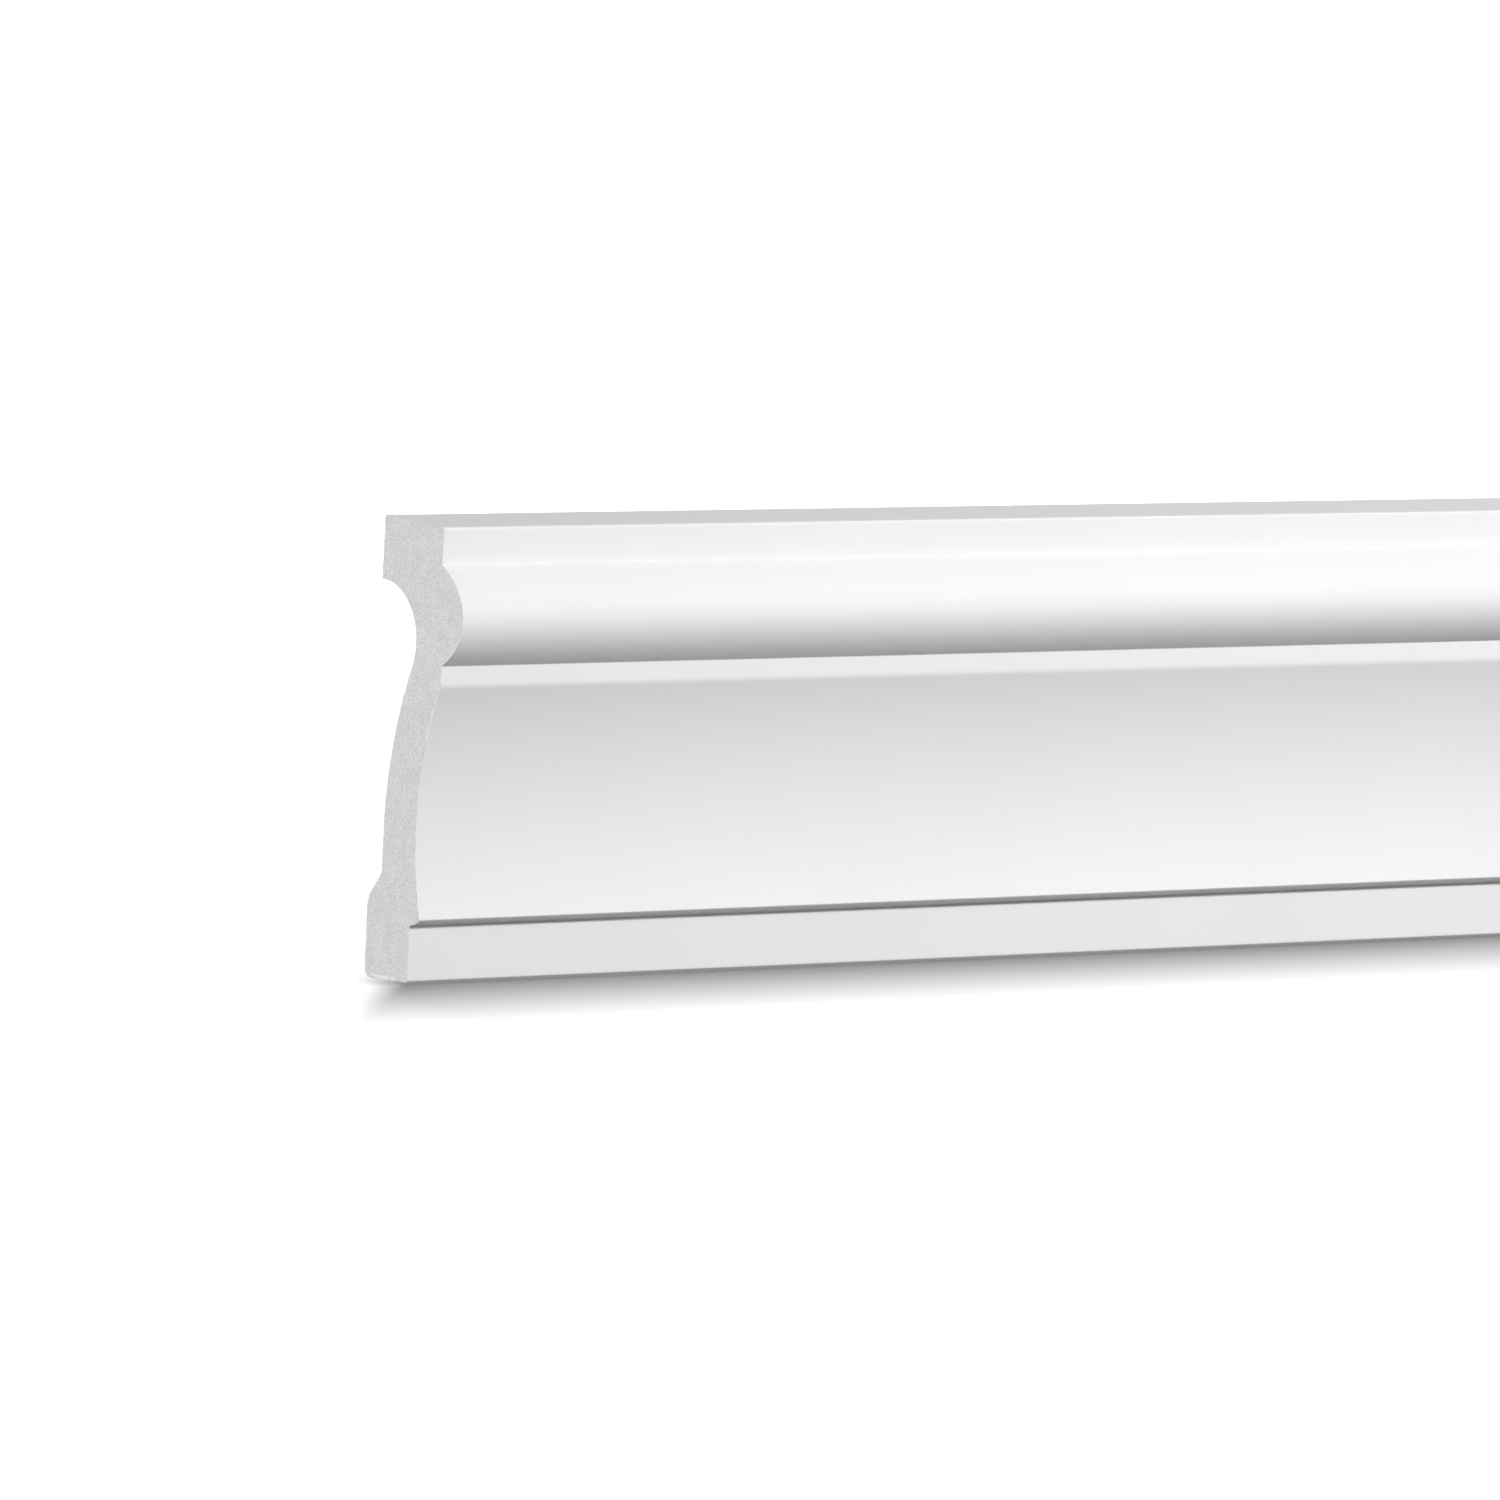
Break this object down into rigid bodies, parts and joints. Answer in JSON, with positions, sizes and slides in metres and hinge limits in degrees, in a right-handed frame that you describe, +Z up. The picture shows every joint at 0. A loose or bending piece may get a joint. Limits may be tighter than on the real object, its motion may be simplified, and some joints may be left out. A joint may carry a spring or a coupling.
{
  "type": "wall moulding",
  "caption": "Straight length of wall moulding: flat top band, rounded bead, fillet, long cove and lipped foot band, with a hollowed back for bonding to a wall.",
  "frame": {"origin": "middle of the lower bonding face, on the wall plane, at mid-length", "axes": "+X along the length, +Y into the wall, +Z up. The moulded face looks towards -Y, into the room"},
  "size_m": [0.32, 0.028, 0.0949],
  "materials": {
    "primed_polyurethane": "matt white factory primer over cast polyurethane, cut ends bare"
  },
  "bodies": {
    "root": {"wall_moulding": "primed_polyurethane"}
  },
  "joints": []
}
